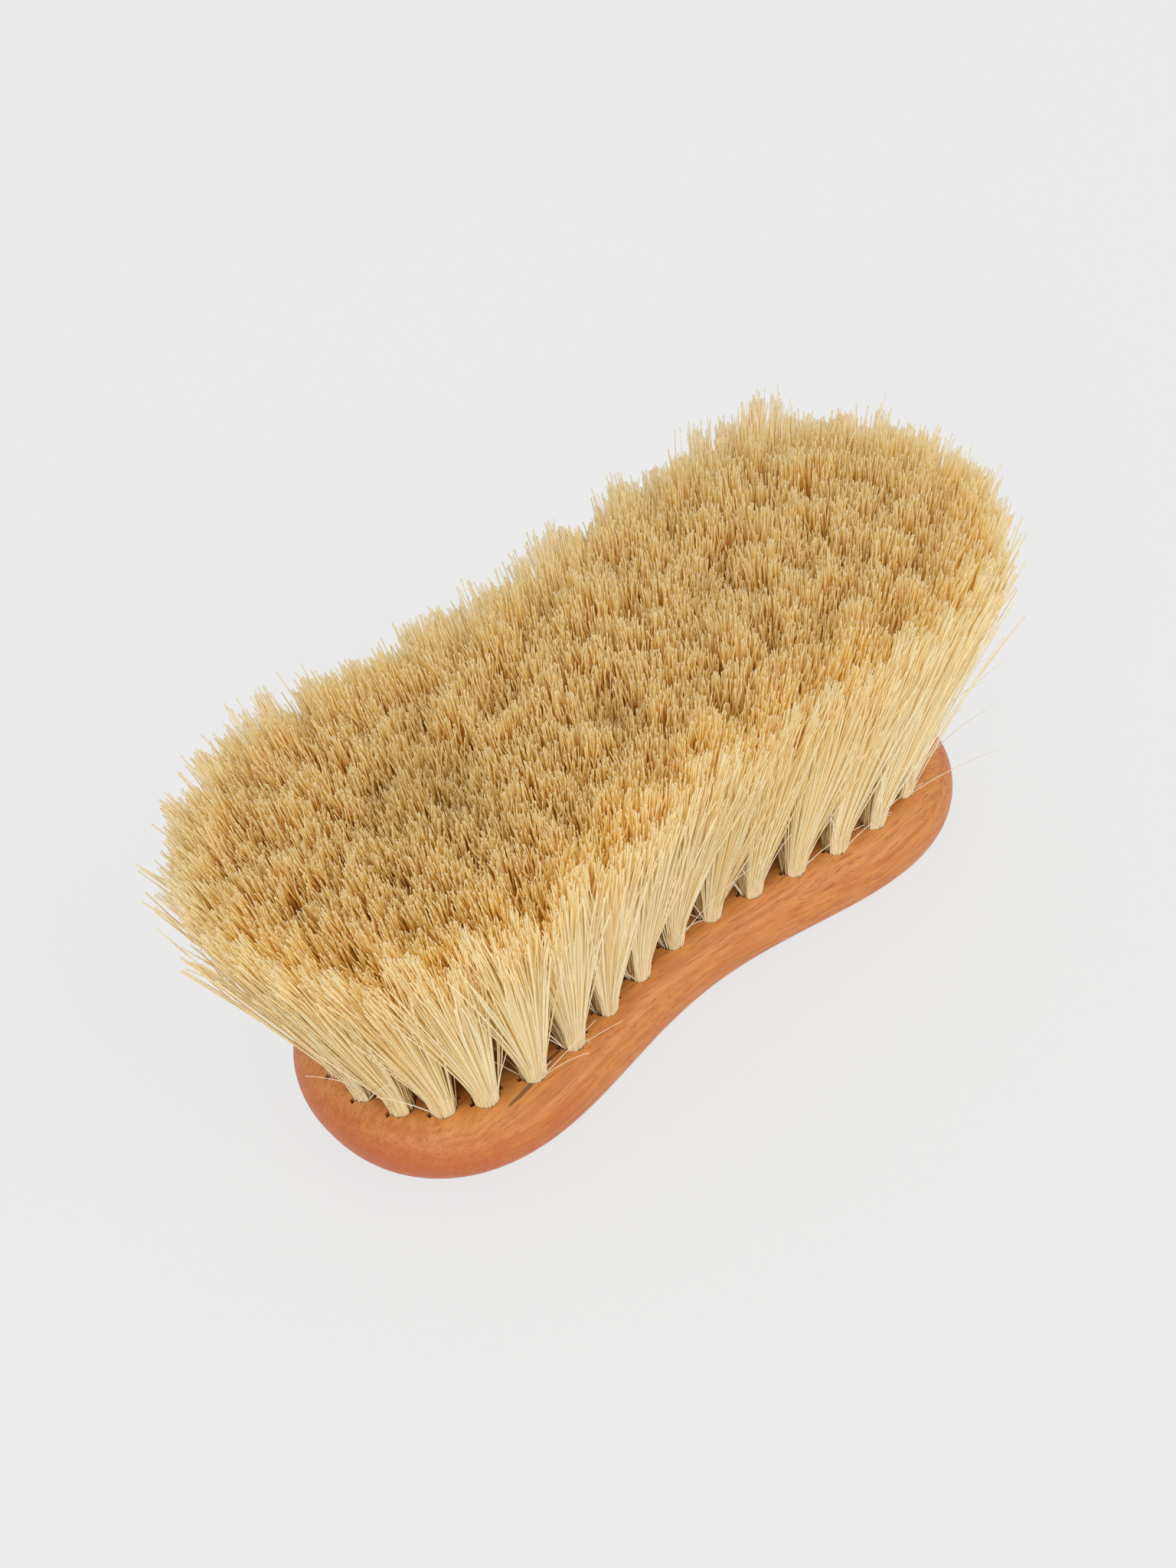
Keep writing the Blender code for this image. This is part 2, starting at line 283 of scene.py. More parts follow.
def lean_together(points, size, seed):
    """For each point, the step to the middle of its clump and the clump's number. Clump middles
    are a jittered square grid, and a point joins the nearest of the nine around it."""
    low = points.min(axis=0) - 2 * size
    cell = np.floor((points - low) / size).astype(int)
    counts = cell.max(axis=0) + 3
    rng = np.random.default_rng(seed)
    middles = np.stack(np.meshgrid(*map(np.arange, counts), indexing="ij"), axis=-1)
    middles = low + (middles + rng.uniform(0.1, 0.9, middles.shape)) * size
    steps = np.stack(np.meshgrid((-1, 0, 1), (-1, 0, 1), indexing="ij"), axis=-1).reshape(-1, 2)
    near = cell[:, None] + steps
    offsets = middles[near[..., 0], near[..., 1]] - points[:, None]
    best = np.linalg.norm(offsets, axis=2).argmin(axis=1)
    rows = np.arange(len(points))
    chosen = near[rows, best]
    return offsets[rows, best], chosen[:, 0] * counts[1] + chosen[:, 1]


def inside(outline, points):
    """True for points inside a closed outline that is symmetric about X: below its half-width."""
    upper = outline[outline[:, 1] >= 0]
    order = np.argsort(upper[:, 0])
    half = np.interp(np.abs(points[:, 0]), upper[order, 0], upper[order, 1], right=-1)
    return np.abs(points[:, 1]) < half


def depth_inside(rim, points):
    """Distance of each point to the nearest of every fifth point of a closed outline."""
    return np.linalg.norm(points[:, None] - rim[::5], axis=2).min(axis=1)


def shared_tips(block, fibre):
    """Tips of every fibre on the trimmed face, the tuft that each belongs to, and how far it
    lies inside the rim.

    A hexagonal lattice over the flared outline is jittered, and packed three times as close
    in a skin along the rim. Each point goes to the tuft whose tip is nearest, after a further
    random step that mingles the fans. Its depth is its distance to the nearest point of the
    rim.
    """
    jitter, skin_jitter = 0.42, 0.7  # of the spacing
    turn = np.linspace(0, 2 * math.pi, 2000)
    flare = fibre.end_flare, fibre.side_flare, fibre.waist_fill
    rim = contour(block, turn, *flare, fibre.rounder)
    reach = np.abs(rim).max(axis=0)
    across = fibre.spacing * math.sqrt(3) / 2
    columns, rows = int(reach[0] / fibre.spacing) + 1, int(reach[1] / across) + 1
    j, i = np.meshgrid(np.arange(-rows, rows + 1), np.arange(-columns, columns + 1))
    points = np.stack(((i + (j % 2) / 2) * fibre.spacing, j * across), axis=-1).reshape(-1, 2)
    rng = np.random.default_rng(fibre.seed)
    points += rng.uniform(-jitter, jitter, points.shape) * fibre.spacing
    points = points[inside(rim, points)]
    skin = points[depth_inside(rim, points) < fibre.skin]
    skin = np.repeat(skin, 2, axis=0)
    skin += rng.uniform(-skin_jitter, skin_jitter, skin.shape) * fibre.spacing
    points = np.vstack((points, skin[inside(rim, skin)]))
    tips = tuft_places()[1]
    strayed = points + rng.normal(0, fibre.mingle, points.shape)
    owner = np.linalg.norm(strayed[:, None] - tips, axis=2).argmin(axis=1)
    return points, owner, depth_inside(rim, points)


# Fibre

# Shares of a fibre's height at which it has a ring of points
RINGS = {"outer": (0, 0.08, 0.2, 0.36, 0.54, 0.7, 0.86, 1), "inner": (0, 0.2, 0.5, 0.7, 0.86, 1)}
# Places where the face dips, each with its size; the fibre there also gets painted shade
DIPS = (((-0.047, 0.0), 0.018), ((-0.007, -0.012), 0.008), ((0.034, 0.004), 0.006))
# Tone that marks a loose fibre, above the 0 to 1 of the others; it paints it paler, as painted
# light
STRAY_TONE = 1.2
# Depth inside the rim that counts as 1 in the fibre's looks
FULL_DEPTH = 0.02


def fibre_paths(root, root_radius, middle, tips, late, trim, shares, rng, bend):
    """Centre lines (n, k, 3) of the fibres of one bundle.

    The root disc is filled in the order of the fan: a fibre keeps its direction from the
    middle, and its rank by distance gives its radius there, as the square root of its share.
    Across, it goes from root to tip as (1 + ease) s^2 / (s + ease), upright out of the hole
    and then nearly straight, with a small bow of sin(pi s). Two parts that grow as a square
    are added: a curl over the last 0.3, and the pull to its lock over the last 0.45.
    """
    ease = 0.12
    away = tips - middle
    angle = np.arctan2(away[:, 1], away[:, 0])
    rank = np.linalg.norm(away, axis=1).argsort().argsort()
    radius = root_radius * np.sqrt((rank + 0.5) / len(tips))
    start = root + radius[:, None] * np.column_stack((np.cos(angle), np.sin(angle)))
    s = shares[None, :, None]
    curve = (1 + ease) * s**2 / (s + ease)
    flat = start[:, None] + (tips - start)[:, None] * curve
    bow = bend[:, None, None] * rng.normal(0, 1.4, (len(tips), 1, 2))
    curl = bend[:, None, None] * rng.normal(0, 1, (len(tips), 1, 2))
    flat = flat + bow * np.sin(math.pi * s) + curl * np.clip((s - 0.7) / 0.3, 0, 1) ** 2
    flat = flat + late[:, None] * np.clip((s - 0.55) / 0.45, 0, 1) ** 2
    rise = (trim[:, None] - FACE) * shares + FACE
    return np.concatenate((flat, rise[..., None]), axis=2)


def stray_paths(root, root_radius, facing, count, shares, rng, longest):
    """Centre lines of loose fibres that leave a bundle's edge at a wide lean, slightly bent."""
    turn = facing + rng.choice((-1, 1), count) * rng.normal(1.1, 0.4, count)
    lean = np.radians(rng.uniform(12, 42, count))
    reach = rng.uniform(0.35, 1.0, count) * longest
    out = np.column_stack((np.cos(turn), np.sin(turn), np.zeros(count)))
    side = np.column_stack((-out[:, 1], out[:, 0], np.zeros(count)))
    up = np.array((0, 0, 1.0))
    start = np.array((*root, FACE)) + out * root_radius * 0.9
    way = out * np.sin(lean)[:, None] + up * np.cos(lean)[:, None]
    # None reaches further than the room that is left.
    room = (ROOM - np.abs(start[:, :2])) / np.maximum(np.abs(way[:, :2]), 1e-3)
    reach = np.minimum(reach, 0.9 * room.min(axis=1))
    bend = side * rng.normal(0, 0.13, (count, 1)) + up * rng.normal(0, 0.06, (count, 1))
    s = shares[None, :, None]
    early = 0.12 * s * (1 - s)  # it starts a little steeper than it goes on
    path = way[:, None] * s + bend[:, None] * s**2 + up * early
    return start[:, None] + reach[:, None, None] * path


def flat_fibres(name, centres, radii, looks, front):
    """Three-sided closed fibres round their centre lines, each with one side turned to front.

    Each ring lies across the line, on a level vector square to front, (n, 2), and on its cross
    product with the tangent. looks is (n, k, 4), kept as the attribute fibre. Each fibre has
    its own cell of a square UV grid, with its length up the cell and its sides across it.
    """
    count, rings = centres.shape[:2]
    tangent = np.gradient(centres, axis=1)
    tangent /= np.linalg.norm(tangent, axis=2, keepdims=True)
    first = np.column_stack((-front[:, 1], front[:, 0], np.zeros(count)))[:, None]
    first = first - (first * tangent).sum(axis=2, keepdims=True) * tangent
    first /= np.linalg.norm(first, axis=2, keepdims=True)
    second = np.cross(tangent, first)
    corner = np.arange(3) * 2 * math.pi / 3 + math.pi / 2
    cos, sin = (f(corner)[None, None, :, None] for f in (np.cos, np.sin))
    ring = cos * first[:, :, None] + sin * second[:, :, None]
    points = centres[:, :, None] + radii[:, :, None, None] * ring

    base = np.arange(count)[:, None, None] * rings * 3
    k, j = np.arange(rings - 1)[None, :, None] * 3, np.arange(3)
    beside = (j + 1) % 3
    sides = np.stack((base + k + j, base + k + beside, base + k + 3 + beside, base + k + 3 + j), -1)
    ends = np.stack((base[:, 0, 0, None] + (2, 1, 0), base[:, 0, 0, None] + (rings - 1) * 3 + j), 1)
    mesh = build_mesh(name, points.reshape(-1, 3), [sides.reshape(-1, 4), ends.reshape(-1, 3)])
    shown = mesh.attributes.new("fibre", "FLOAT_COLOR", "POINT")
    shown.data.foreach_set("color", np.repeat(looks, 3, axis=1).astype(np.float32).ravel())

    # In each cell, the sides take 0.82 of its height, and the two ends a strip each above it.
    margin, wide, tall = 0.05, 0.9, 0.82
    grid = math.ceil(math.sqrt(count))
    cell = np.column_stack((np.arange(count) % grid, np.arange(count) // grid))[:, None, None]
    left, low = np.meshgrid(j / 3, np.arange(rings - 1) / (rings - 1))
    quad = np.stack((left, low), axis=-1)[..., None, :] + np.array(
        ((0, 0), (1 / 3, 0), (1 / 3, 1 / (rings - 1)), (0, 1 / (rings - 1)))
    )
    on_sides = cell[..., None, :] + margin + np.array((wide, tall)) * quad[None]
    triangle = np.array(((0.1, 0), (0.9, 0), (0.5, 0.05)))
    on_ends = cell + np.stack((triangle + (0, 0.89), triangle + (0, 0.945)))
    spots = np.concatenate((on_sides.reshape(-1, 2), on_ends.reshape(-1, 2))) / grid
    layer = mesh.uv_layers.new(name="OFBake")
    layer.uv.foreach_set("vector", spots.astype(np.float32).ravel())
    return mesh


def gather(ends, late, fibre, tips, mine, free, frayed):
    """Draws the ends of a tuft's fibres together, in clumps and less in locks, and gives two
    random numbers for the clump and two for the lock of each. Fibres that aren't free are
    drawn late on their way instead, and by more, which is their fraying."""
    luck = []
    for step, (size, drawn) in enumerate(((fibre.clump, 0.4), (fibre.lock, 0.16))):
        pull, group = lean_together(tips, size, fibre.seed + step)
        pull, group = pull[mine], group[mine]
        ends += drawn * free[:, None] * pull
        late += (drawn + frayed) * (1 - free[:, None]) * pull
        given = np.random.default_rng((fibre.seed, step)).uniform(-1, 1, (group.max() + 1, 2))
        luck.append(given[group])
    return luck


def stand_out(ends, low, deep, out, by_lock, rng):
    """Lets some fibres at the rim stand further out and lower, and its locks end unevenly."""
    rim, lower, lower_lock = 0.004, 0.0085, 0.0022
    step, longest_step, side_step = 0.0024, 0.0075, 0.0016
    count = len(deep)
    edge = np.clip(1 - deep / rim, 0, 1)
    loose = rng.random(count) < 0.25 * edge
    shift = np.clip(rng.exponential(step, count), 0, longest_step) * loose
    sideways = rng.normal(0, side_step, count) * loose
    ends += shift[:, None] * out + sideways[:, None] * (-out[1], out[0])
    low += 0.3 * shift + edge**1.5 * lower * rng.random(count) ** 1.5
    low += lower_lock * edge * by_lock[:, 0]


def fibre_radii(fibre, root_radius, shares, count, rng):
    """Radii (n, k): packed into the hole at the root, full from a quarter of the height, and
    slightly tapered at the tip."""
    thick = fibre.thickness / 2 * rng.uniform(0.72, 1.28, count)
    filled = 0.8  # of the section of the hole
    packed = min(fibre.thickness / 2, root_radius * math.sqrt(filled / count))
    swell = np.clip(shares / 0.25, 0, 1)
    taper = 1 - 0.2 * shares**3
    return (packed + (thick - packed)[:, None] * swell) * taper


def tuft_mesh(number, block, fibre, tips, owner, depth):
    """One bundle: its fan of fibres, and on the outer ring its loose ones.

    Its looks are the tone, the share of the height, the hue and the depth inside the rim.
    """
    rng = np.random.default_rng((fibre.seed, number))
    roots, middles = tuft_places()
    root, middle = roots[number], middles[number]
    name = TUFTS[number]
    outer = name in OUTER
    shares = np.array(RINGS["outer" if outer else "inner"])
    mine = owner == number
    own, deep = tips[mine], depth[mine]
    count = len(own)

    ends = own + rng.normal(0, 0.0003, own.shape)
    late = np.zeros(own.shape)
    free = 0.2 + 0.8 * np.clip(deep / 0.005, 0, 1)  # fibres lie straight and even on the wall
    # The wall frays more on the far side and at the left end.
    frayed = 0.24 + 0.22 * np.clip(max(middle[1], -root[0] - 0.06) / 0.02, 0, 1)
    by_clump, by_lock = gather(ends, late, fibre, tips, mine, free, frayed)
    unruly = rng.random(count) < 0.1 * free
    ends += rng.normal(0, 0.002, own.shape) * unruly[:, None]

    # How far each ends below the trim: clumps and locks keep together, and a few fibres are
    # short. The face has hollows, and places where it dips.
    low = 0.0007 * rng.random(count) + 0.004 * rng.random(count) ** 6
    low += fibre.uneven * (0.4 * by_clump[:, 0] + 0.25 * by_lock[:, 0])
    hollow = drift(own, 0.013, fibre.seed + 3)
    dipped = sum(np.exp(-((own - spot) ** 2).sum(axis=1) / size**2) for spot, size in DIPS)
    low += 0.0017 * hollow + 0.0026 * dipped
    if outer:
        out = (middle - root) / np.linalg.norm(middle - root)
        stand_out(ends, low, deep, out, by_lock, rng)
    ends = np.clip(ends, -ROOM, ROOM)

    clearance = 0.00013
    root_radius = block.hole_diameter / 2 - clearance
    bend = fibre.thickness * 2.2 * free
    centres = fibre_paths(
        root, root_radius, middle, ends, late, TRIM - low, shares, rng, bend
    )
    radii = fibre_radii(fibre, root_radius, shares, count, rng)
    tone = 0.5 + 0.2 * rng.normal(size=count) + 0.16 * by_clump[:, 1] + 0.1 * by_lock[:, 1]
    patches = 0.09 * drift(own, 0.022, fibre.seed + 4)
    # Random patches of tone, and painted shade: a lower tone, darker and browner, in the hollows
    # and dips of the face.
    tone = np.clip(tone + patches - 0.1 * hollow - 0.42 * dipped, 0, 1)

    if outer:
        facing = math.atan2(out[1], out[0])
        longest, thin = 0.042, 0.00013
        # There are fewer at the left end.
        left_end = np.clip((-root[0] - 0.045) / 0.03, 0, 1)
        loose = int(fibre.strays * (1 - 0.5 * left_end))
        paths = stray_paths(root, root_radius, facing, loose, shares, rng, longest)
        centres = np.concatenate((centres, paths))
        thin = thin * rng.uniform(0.8, 1.3, (loose, 1)) * (1 - 0.5 * shares)
        radii = np.concatenate((radii, thin))
        tone = np.concatenate((tone, np.full(loose, STRAY_TONE)))
    # On the wall of the brush, a flat side of each fibre looks outwards.
    turn = rng.uniform(0, 2 * math.pi, len(tone))
    if outer:
        on_wall = np.concatenate((deep < 0.006, np.zeros(len(tone) - count, bool)))
        turn = np.where(on_wall, facing + 0.3 * rng.normal(size=len(tone)), turn)
    front = np.column_stack((np.cos(turn), np.sin(turn)))
    # The bundle goes on straight down to the anchor, near the foot of the hole.
    above_foot = 0.0026
    foot = centres[:, :1] * (1, 1, 0) + np.array((0, 0, FACE - block.hole_depth + above_foot))
    centres = np.concatenate((foot, centres), axis=1)
    radii = np.concatenate((radii[:, :1], radii), axis=1)

    height = np.concatenate(([0], shares))
    looks = np.ones((len(tone), len(height), 4))
    looks[..., 0] = tone[:, None]
    looks[..., 1] = height
    looks[..., 2] = rng.random((len(tone), 1))
    looks[:count, :, 3] = np.clip(deep / FULL_DEPTH, 0, 1)[:, None]
    # A loose fibre has the looks of a root on the wall from end to end.
    looks[count:, :, 1] = 0
    looks[count:, :, 3] = 0
    return flat_fibres(name, centres, radii, looks, front)


# Materials


def new_material(name):
    made = bpy.data.materials.new(name)
    made.use_nodes = True
    return made, made.node_tree, made.node_tree.nodes["Principled BSDF"]


def add(tree, kind, inputs=None, **settings):
    """A node, with its settings and with a value or a socket for each named input."""
    node = tree.nodes.new(kind)
    for key, value in settings.items():
        setattr(node, key, value)
    for key, value in (inputs or {}).items():
        if isinstance(value, bpy.types.NodeSocket):
            tree.links.new(value, node.inputs[key])
        else:
            node.inputs[key].default_value = value
    return node


def math_node(tree, operation, *values):
    return add(tree, "ShaderNodeMath", dict(enumerate(values)), operation=operation).outputs[0]


def carried_on(tree, operation, first, *others):
    """An operation on two values, carried on over any number of them."""
    for other in others:
        first = math_node(tree, operation, first, other)
    return first


def product(tree, *values):
    return carried_on(tree, "MULTIPLY", *values)


def highest(tree, *values):
    return carried_on(tree, "MAXIMUM", *values)


def spread(tree, value, low, high, to_low=0.0, to_high=1.0):
    """The value taken from one range to another, with soft ends."""
    given = {0: value, 1: low, 2: high, 3: to_low, 4: to_high}
    return add(tree, "ShaderNodeMapRange", given, interpolation_type="SMOOTHSTEP").outputs[0]


def mixed(tree, factor, first, second):
    """Two colours mixed. Sockets 6 and 7 of the node are its colours."""
    given = {0: factor, 6: first, 7: second}
    return add(tree, "ShaderNodeMix", given, data_type="RGBA").outputs[2]


def tinted(tree, body, tint, *masks):
    """A colour laid over the body, by the product of the masks."""
    return mixed(tree, product(tree, *masks), body, (*tint, 1))


def vector_node(tree, operation, *values):
    given = dict(enumerate(values))
    return add(tree, "ShaderNodeVectorMath", given, operation=operation)


def far_from(tree, place, middle, half_size, turn=0.0):
    """Distance from a middle, counted in half sizes along axes that are turned about Z."""
    given = {"Vector": place, "Location": middle, "Rotation": (0, 0, turn), "Scale": half_size}
    local = add(tree, "ShaderNodeMapping", given, vector_type="TEXTURE").outputs[0]
    return vector_node(tree, "LENGTH", local).outputs["Value"]


def plain_rays(tree):
    """1 for the rays that see the stage itself: from the camera, by gloss or through glass."""
    seen = add(tree, "ShaderNodeLightPath").outputs
    return highest(
        tree, seen["Is Camera Ray"], seen["Is Glossy Ray"], seen["Is Transmission Ray"]
    )


def stretched_noise():
    """Node group: noise drawn out along an axis, for grain, flecks and fibre streaks."""
    group = bpy.data.node_groups.get("Stretched noise")
    if group:
        return group
    group = bpy.data.node_groups.new("Stretched noise", "ShaderNodeTree")
    for name, kind in (("Vector", "Vector"), ("Stretch", "Vector"), ("Warp", "Float")):
        group.interface.new_socket(name, in_out="INPUT", socket_type="NodeSocket" + kind)
    group.interface.new_socket("Value", in_out="OUTPUT", socket_type="NodeSocketFloat")
    given = group.nodes.new("NodeGroupInput").outputs
    result = group.nodes.new("NodeGroupOutput")
    scaled = vector_node(group, "MULTIPLY", given[0], given[1])
    noise = add(
        group,
        "ShaderNodeTexNoise",
        {"Vector": scaled.outputs[0], "Scale": 1.0, "Detail": 3.0, "Distortion": given[2]},
    )
    group.links.new(noise.outputs[0], result.inputs[0])
    return group


def noise(tree, vector, stretch, warp=0.0):
    """Noise of the group: stretch is its rate along each axis, for each metre."""
    node = add(tree, "ShaderNodeGroup", node_tree=stretched_noise())
    tree.links.new(vector, node.inputs["Vector"])
    node.inputs["Stretch"].default_value = stretch
    node.inputs["Warp"].default_value = warp
    return node.outputs[0]


MINERAL_GREY = (0.12, 0.065, 0.035)
# Middle and half size of the two grey lines that minerals left in the grain beside a tuft
MINERAL_LINES = (
    ((-0.0555, -0.0292, 0.0185), (0.0085, 0.00055, 0.004)),
    ((-0.0485, -0.0272, 0.0185), (0.0080, 0.00050, 0.004)),
)


def oiled_wood(block):
    """Oiled hardwood, its growth rings about a pith below the block, with short ray flecks."""
    made, tree, shader = new_material("Oiled wood")
    coords = add(tree, "ShaderNodeTexCoord").outputs
    place = coords["Object"]
    lengthways, _, rise = add(tree, "ShaderNodeSeparateXYZ", {0: place}).outputs

    # The grain wanders a few millimetres off its line.
    wander = math_node(tree, "SUBTRACT", noise(tree, place, (9, 30, 30)), 0.5)
    wander = product(tree, wander, 0.012)
    moved = add(tree, "ShaderNodeCombineXYZ", {1: wander, 2: wander}).outputs[0]
    moved = vector_node(tree, "ADD", place, moved).outputs[0]
    pith = {"Vector": moved, "Location": (0.0, 0.021, 0.046), "Scale": (0.05, 1, 1)}
    pith = add(tree, "ShaderNodeMapping", pith).outputs[0]
    from_pith = vector_node(tree, "LENGTH", pith).outputs["Value"]
    rings = {"W": from_pith, "Scale": 420.0, "Detail": 3.0, "Roughness": 0.6}
    rings = add(tree, "ShaderNodeTexNoise", rings, noise_dimensions="1D").outputs[0]
    streaks = noise(tree, moved, (70, 950, 950))
    grain = math_node(tree, "ADD", product(tree, rings, 0.35), product(tree, streaks, 0.65))
    body = mixed(tree, spread(tree, grain, 0.34, 0.64), (*block.dark, 1), (*block.light, 1))
    pores = spread(tree, noise(tree, moved, (170, 2500, 2500)), 0.57, 0.67, 0, 0.55)
    body = tinted(tree, body, block.pore, pores)

    # Redder wavy figure of the wood, most of all at the left lobe, laid on with painted shade:
    # darker and redder low on the side, where the rim turns away from the light. Redder also
    # where it faces along the grain.
    curl = spread(tree, noise(tree, place, (190, 50, 50), 0.8), 0.48, 0.62, 0.55, 0.8)
    below = spread(tree, rise, 0.0175, 0.0095)
    left_lobe = spread(tree, lengthways, -0.03, -0.065, 0.3, 1.0)
    body = tinted(tree, body, block.end, curl, below, left_lobe)
    facing = add(tree, "ShaderNodeSeparateXYZ", {0: coords["Normal"]}).outputs[0]
    facing = spread(tree, math_node(tree, "ABSOLUTE", facing), 0.3, 1.0)
    blotch = spread(tree, noise(tree, place, (60, 60, 60), 0.5), 0.25, 0.65, 0.15, 0.65)
    body = tinted(tree, body, block.end, facing, blotch)
    lines = [mineral_line(tree, place, *line) for line in MINERAL_LINES]
    body = tinted(tree, body, MINERAL_GREY, highest(tree, *lines))

    tree.links.new(body, shader.inputs["Base Color"])
    tree.links.new(spread(tree, streaks, 0.2, 0.8, 0.5, 0.38), shader.inputs["Roughness"])
    relief = math_node(tree, "SUBTRACT", streaks, pores)
    relief = {"Strength": 0.25, "Distance": 0.00012, "Height": relief}
    bump = add(tree, "ShaderNodeBump", relief)
    tree.links.new(bump.outputs[0], shader.inputs["Normal"])
    shader.inputs["Specular IOR Level"].default_value = 0.35
    return made


def mineral_line(tree, place, middle, half_size):
    """Mask of one such line: a long narrow ellipse with frayed edges."""
    far = far_from(tree, place, middle, half_size, turn=0.14)
    far = math_node(tree, "ADD", far, noise(tree, place, (200, 1500, 1500)))
    return spread(tree, far, 1.55, 1.0, 0.0, 0.8)


def dip_place(tree, place, middle, size):
    """Mask of a dip in the trimmed face, for the painted shade there, with a soft edge."""
    far = far_from(tree, place, (*middle, TRIM), (size, size, size))
    far = math_node(tree, "ADD", far, noise(tree, place, (110, 110, 110), 0.5))
    return spread(tree, far, 1.7, 0.6, 0.0, 0.33)


# Tints of the fibre beside those in its settings
PALE_SHAFT = (0.95, 0.88, 0.66)
IN_SHADE = (0.58, 0.38, 0.16)
WARM_ROOT_SHADE = (0.92, 0.73, 0.45)
FAR_RIM_LIGHT = (0.96, 0.85, 0.67)
YELLOW_TONE_AND_SHADE = (0.93, 0.71, 0.34)
BROWN_TONE_AND_SHADE = (0.55, 0.36, 0.09)
ROSY = (0.92, 0.64, 0.40)
STREAKED = (0.90, 0.68, 0.30)
LOOSE = (0.98, 0.93, 0.80)
DIP_SHADE = (0.50, 0.305, 0.075)


def plant_fibre(fibre):
    """Stiff natural fibre: cream shafts, each of its own tone, and ochre towards the trimmed ends
    inside the rim, which is painted shade and glow.

    Each layer below is a tint and the masks that it is laid on by. They read the looks of the
    fibre, which are 0 to 1, and the place on the brush in metres.
    """
    made, tree, shader = new_material("Plant fibre")
    looks = add(tree, "ShaderNodeAttribute", attribute_name="fibre")
    tone, height, hue = add(tree, "ShaderNodeSeparateColor", {0: looks.outputs["Color"]}).outputs
    depth = looks.outputs["Alpha"]
    place = add(tree, "ShaderNodeTexCoord").outputs["Object"]
    lengthways, across, _ = add(tree, "ShaderNodeSeparateXYZ", {0: place}).outputs
    streak = noise(tree, place, (1500, 1500, 60))
    # Paler fibres change colour a little further down.
    shift = product(tree, math_node(tree, "SUBTRACT", tone, 0.5), 0.08)
    along = math_node(tree, "ADD", height, shift)

    def mask(value, *limits):
        return spread(tree, value, *limits)

    deep = mask(depth, 0.13, 0.95)
    ochre = product(tree, mask(along, 0.70, 0.88), deep)
    rim_glow = mask(depth, 0.0, 0.3, 0.3, 1.0), mask(depth, 0.8, 0.4), mask(along, 0.62, 0.97)
    # Painted light: the far rim is paler, as if lit from behind
    far_rim_light = mask(depth, 0.4, 0.0), mask(along, 0.6, 0.9)
    dipped = highest(tree, *(dip_place(tree, place, *spot) for spot in DIPS))
    layers = (
        (PALE_SHAFT, mask(lengthways, 0.0, 0.06, 0, 0.6)),
        # Painted shade: fibre behind the wall is darker and warmer, and darker still low down there
        (fibre.inner, mask(depth, 0.025, 0.14), mask(height, 0.08, 0.45)),
        (IN_SHADE, mask(depth, 0.15, 0.45), mask(height, 0.5, 0.2)),
        # Painted shade: warmer, darker fibre low down near the roots
        (WARM_ROOT_SHADE, mask(height, 0.3, 0.0, 0, 0.3)),
        # Painted shade and glow: a little below its tip, fibre inside the rim is ochre for the
        # hollows
        (fibre.ochre, ochre),
        # Painted light: the margin of the face is golden, for light that enters the fibre at the
        # rim, most of all on the near side, which faces the lamps; the far side is paler, as if lit
        # from behind.
        (fibre.rim_glow, *rim_glow, mask(across, 0.012, -0.012, 0.15, 0.75)),
        (FAR_RIM_LIGHT, *far_rim_light, mask(across, -0.005, 0.02, 0.1, 0.7)),
        # Each fibre's own tone and hue. The tone is lowered in the hollows and dips of the face, so
        # there the yellow and brown are painted shade.
        (YELLOW_TONE_AND_SHADE, mask(tone, 0.7, 0.0, 0, 0.4)),
        (BROWN_TONE_AND_SHADE, mask(tone, 0.55, 0.0, 0, 0.62), ochre),
        (ROSY, mask(hue, 0.8, 1.0, 0, 0.4)),
        (STREAKED, mask(streak, 0.65, 0.3, 0, 0.2)),
        # Painted light: loose fibres are paler, for the light they catch clear of the brush
        (LOOSE, mask(tone, 1.05, 1.15, 0, 0.7)),
        # The last of the fibre, ochre inside the rim as painted shade and glow, its cut end, and
        # painted shade on both in the dips of the face
        (fibre.tip, mask(height, 0.90, 0.985), deep),
        (fibre.cut, mask(height, 0.98, 1.0, 0, 0.8)),
        (DIP_SHADE, dipped, mask(along, 0.7, 0.88)),
    )
    body = (*fibre.shaft, 1)
    for tint, *masks in layers:
        body = tinted(tree, body, tint, *masks)
    tree.links.new(body, shader.inputs["Base Color"])
    shader.inputs["Roughness"].default_value = 0.6
    shader.inputs["Specular IOR Level"].default_value = 0.12
    # Light from the lamps partly passes through on its way to the fibres behind.
    passed = mixed(tree, depth, (*fibre.wall_light, 1), (*fibre.face_light, 1))
    clear = add(tree, "ShaderNodeBsdfTransparent", {0: passed})
    from_lamp = add(tree, "ShaderNodeLightPath").outputs["Is Shadow Ray"]
    given = {0: from_lamp, 1: shader.outputs[0], 2: clear.outputs[0]}
    lit = add(tree, "ShaderNodeMixShader", given)
    tree.links.new(lit.outputs[0], tree.nodes["Material Output"].inputs["Surface"])
    return made


def galvanised_wire():
    """Dull zinc, spangled by noise, for the flat wire of the anchors."""
    made, tree, shader = new_material("Galvanised wire")
    place = add(tree, "ShaderNodeTexCoord").outputs["Object"]
    dark, light = (0.32, 0.32, 0.33, 1), (0.5, 0.5, 0.52, 1)
    spangle = noise(tree, place, (900, 900, 900), 1.0)
    zinc = mixed(tree, spread(tree, spangle, 0.35, 0.65), dark, light)
    tree.links.new(zinc, shader.inputs["Base Color"])
    tree.links.new(spread(tree, spangle, 0.3, 0.7, 0.35, 0.55), shader.inputs["Roughness"])
    shader.inputs["Metallic"].default_value = 1.0
    return made


